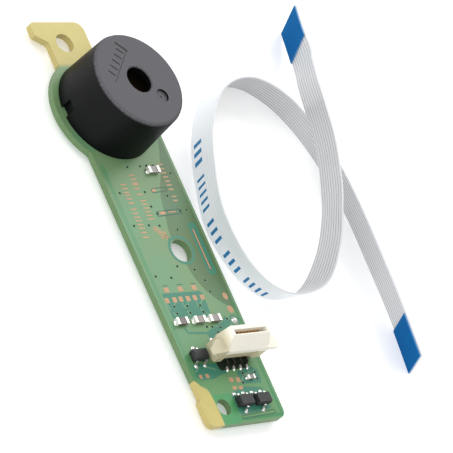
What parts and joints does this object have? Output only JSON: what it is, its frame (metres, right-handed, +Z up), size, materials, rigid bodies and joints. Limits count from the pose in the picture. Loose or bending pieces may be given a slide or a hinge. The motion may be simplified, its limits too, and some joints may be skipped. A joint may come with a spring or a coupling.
{
  "type": "touch switch circuit board with piezo sounder and ribbon cable",
  "caption": "Long narrow circuit board with a round piezo sounder, a small vertical ribbon connector and a loose flat ribbon cable.",
  "frame": {"origin": "centre of the board assembly's plan, at the height of the sounder's two solder tips, which stand on the surface; the ribbon cable is not counted", "axes": "+X across the board towards the ribbon cable, +Y along the board towards the tab with the hole, +Z up from the component side"},
  "size_m": [0.0426, 0.0508, 0.0099],
  "materials": {
    "laminate": "green solder mask on glass-fibre laminate",
    "black_plastic": "satin moulded black",
    "cream_plastic": "satin moulded cream",
    "beige_plastic": "satin moulded beige",
    "brass": "rolled sheet",
    "gold": "gold-plated spring bronze",
    "tin": "tinned",
    "ceramic": "fired, silvered",
    "chip": "glazed grey",
    "ribbon": "polyester film over flat conductors",
    "stiffener": "blue polyester film"
  },
  "bodies": {
    "board": {"pcb": "laminate", "buzzer_case": "black_plastic", "buzzer_base": "black_plastic", "buzzer_plate": "brass", "buzzer_ceramic": "ceramic", "buzzer_pin_1": "tin", "buzzer_pin_2": "tin", "buzzer_solder_1": "tin", "buzzer_solder_2": "tin", "connector_housing": "beige_plastic", "connector_contact_1": "gold", "connector_contact_2": "gold", "connector_contact_3": "gold", "connector_contact_4": "gold", "connector_contact_5": "gold", "connector_contact_6": "gold", "connector_contact_7": "gold", "connector_contact_8": "gold", "transistor_1_body": "black_plastic", "transistor_1_lead_1": "tin", "transistor_1_lead_2": "tin", "transistor_1_lead_3": "tin", "transistor_2_body": "black_plastic", "transistor_2_lead_1": "tin", "transistor_2_lead_2": "tin", "transistor_2_lead_3": "tin", "transistor_3_body": "black_plastic", "transistor_3_lead_1": "tin", "transistor_3_lead_2": "tin", "transistor_3_lead_3": "tin", "chip_1_body": "chip", "chip_1_cap_left": "tin", "chip_1_cap_right": "tin", "chip_2_body": "chip", "chip_2_cap_left": "tin", "chip_2_cap_right": "tin", "chip_3_body": "chip", "chip_3_cap_left": "tin", "chip_3_cap_right": "tin", "chip_4_body": "chip", "chip_4_cap_left": "tin", "chip_4_cap_right": "tin", "chip_5_body": "chip", "chip_5_cap_left": "tin", "chip_5_cap_right": "tin"},
    "slider": {"connector_slider": "cream_plastic"},
    "ribbon": {"ribbon_cable": "ribbon", "ribbon_stiffener_1": "stiffener", "ribbon_stiffener_2": "stiffener"}
  },
  "joints": [
    {"name": "slider_lift", "type": "slide", "parent": "board", "child": "slider", "axis": [0, 0, 1], "range_m": [0, 0.0009]},
    {"name": "ribbon_lift_off", "type": "slide", "parent": "board", "child": "ribbon", "axis": [0, 0, 1], "range_m": [0, 0.015]}
  ]
}
